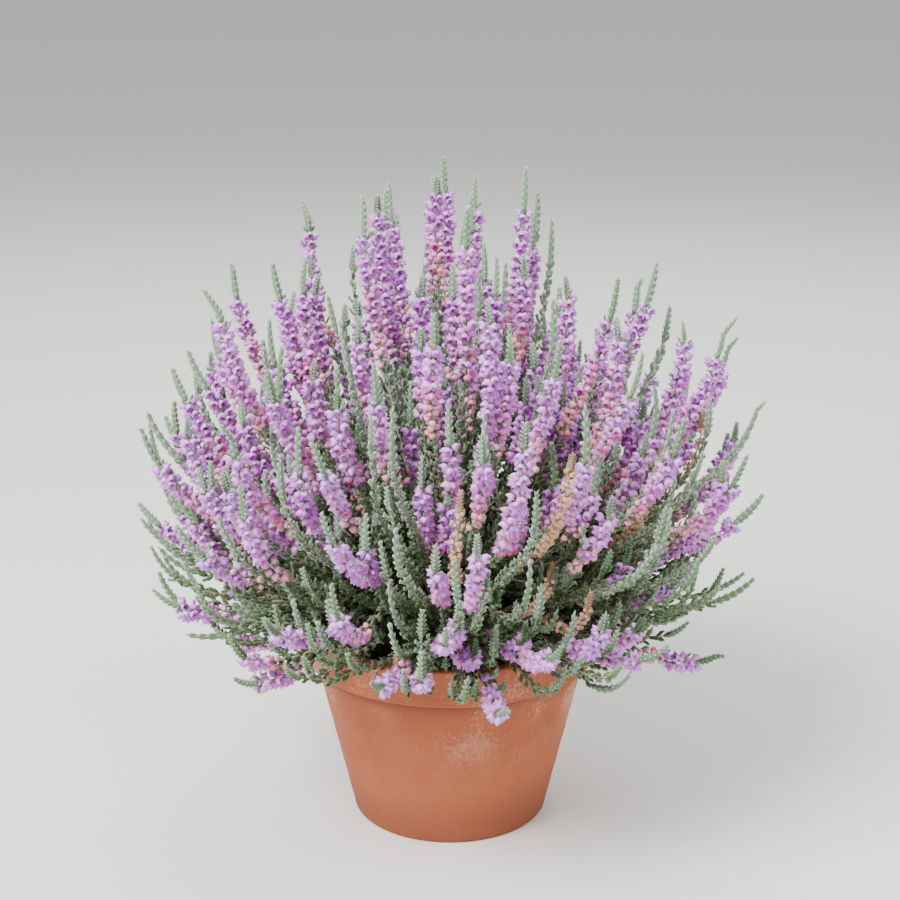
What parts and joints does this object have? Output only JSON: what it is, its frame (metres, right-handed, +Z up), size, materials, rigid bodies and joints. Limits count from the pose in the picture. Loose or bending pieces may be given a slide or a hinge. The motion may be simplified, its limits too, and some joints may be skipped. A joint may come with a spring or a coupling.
{
  "type": "potted heather",
  "caption": "Heather in flower: a dome of upright silver-grey leafy shoots that end in mauve flower spikes, growing in a plain clay pot.",
  "frame": {"origin": "centre of the pot's underside, on the surface it stands on", "axes": "+Z up along the pot's axis, X and Y level"},
  "size_m": [0.479, 0.4733, 0.5142],
  "materials": {
    "terracotta": "unglazed, matt",
    "soil": "matt potting soil",
    "foliage": "matt, downy silver-green leaves on woody stems",
    "flowers": "soft mauve petals"
  },
  "bodies": {
    "root": {"pot": "terracotta", "soil": "soil", "leafy_spray_01": "foliage", "leafy_spray_02": "foliage", "leafy_spray_03": "foliage", "leafy_spray_04": "foliage", "leafy_spray_05": "foliage", "leafy_spray_06": "foliage", "leafy_spray_07": "foliage", "leafy_spray_08": "foliage", "leafy_spray_09": "foliage", "leafy_spray_10": "foliage", "leafy_spray_11": "foliage", "leafy_spray_12": "foliage", "flower_spike_01": "flowers", "flower_spike_02": "flowers", "flower_spike_03": "flowers", "flower_spike_04": "flowers", "flower_spike_05": "flowers", "flower_spike_06": "flowers", "flower_spike_07": "flowers", "flower_spike_08": "flowers", "flower_spike_09": "flowers", "flower_spike_10": "flowers", "flower_spike_11": "flowers", "flower_spike_12": "flowers", "flower_spike_13": "flowers", "flower_spike_14": "flowers", "flower_spike_15": "flowers", "flower_spike_16": "flowers", "flower_spike_17": "flowers", "flower_spike_18": "flowers", "flower_spike_19": "flowers", "flower_spike_20": "flowers", "flower_spike_21": "flowers", "flower_spike_22": "flowers", "flower_spike_23": "flowers", "flower_spike_24": "flowers", "flower_spike_25": "flowers", "flower_spike_26": "flowers", "flower_spike_27": "flowers", "flower_spike_28": "flowers", "flower_spike_29": "flowers", "flower_spike_30": "flowers", "flower_spike_31": "flowers", "flower_spike_32": "flowers", "flower_spike_33": "flowers", "flower_spike_34": "flowers", "flower_spike_35": "flowers", "flower_spike_36": "flowers", "flower_spike_37": "flowers", "flower_spike_38": "flowers", "flower_spike_39": "flowers", "flower_spike_40": "flowers", "flower_spike_41": "flowers", "flower_spike_42": "flowers", "flower_spike_43": "flowers", "flower_spike_44": "flowers", "flower_spike_45": "flowers", "flower_spike_46": "flowers"}
  },
  "joints": []
}
